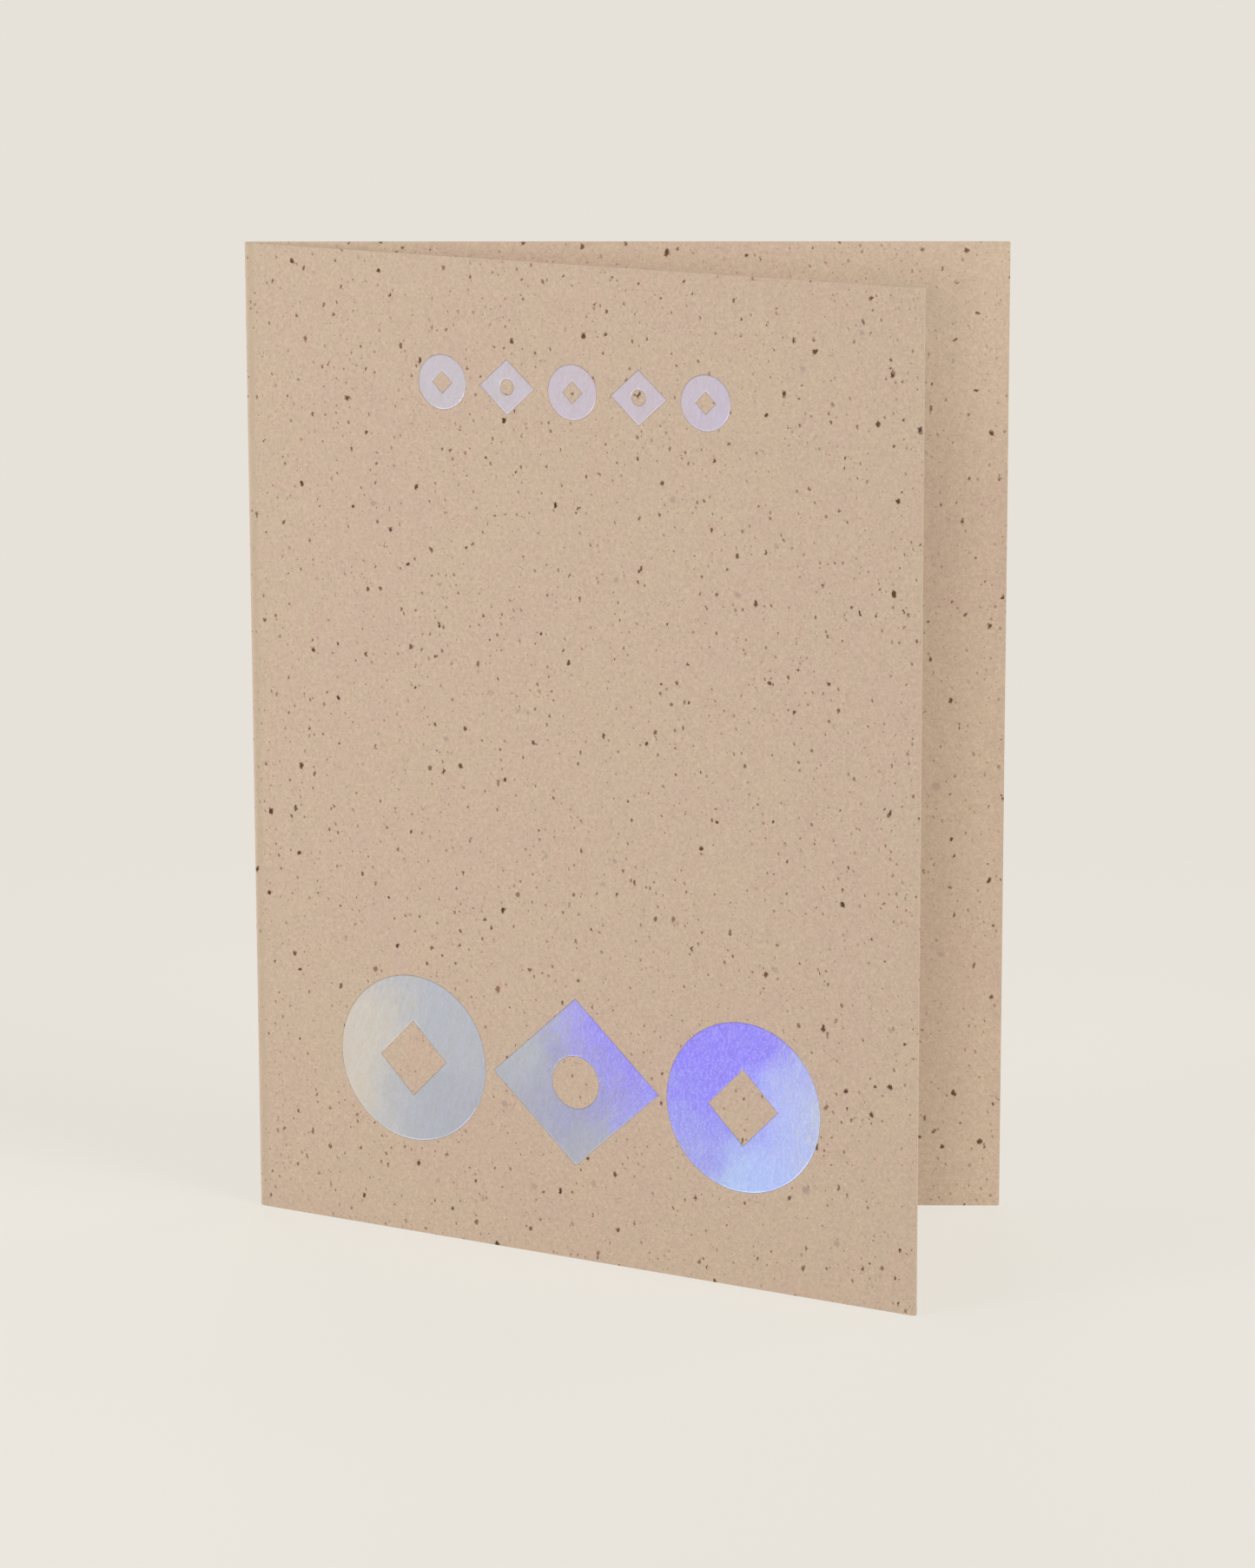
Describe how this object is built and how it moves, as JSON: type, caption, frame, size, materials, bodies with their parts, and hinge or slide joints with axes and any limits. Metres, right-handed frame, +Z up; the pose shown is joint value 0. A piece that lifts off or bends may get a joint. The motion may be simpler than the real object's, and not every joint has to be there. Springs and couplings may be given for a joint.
{
  "type": "greeting card",
  "caption": "Folded greeting card of speckled card stock, standing part open, with rows of holographic foil discs and lozenges blocked into its front leaf.",
  "frame": {"origin": "centre of the bounding box's base, on the surface that the card stands on", "axes": "+Z up the fold; +X from the fold to the free edge, along the back leaf; -Y towards the reader, where the front leaf swings out"},
  "size_m": [0.107, 0.053, 0.14],
  "materials": {
    "speckled_card": "uncoated recycled card stock with brown specks and a fine eggshell tooth",
    "holographic_foil": "satin holographic stamping foil, silver with violet and pale blue fire"
  },
  "bodies": {
    "root": {"folded_card": "speckled_card", "foil_large_row": "holographic_foil", "foil_small_row": "holographic_foil"}
  },
  "joints": []
}
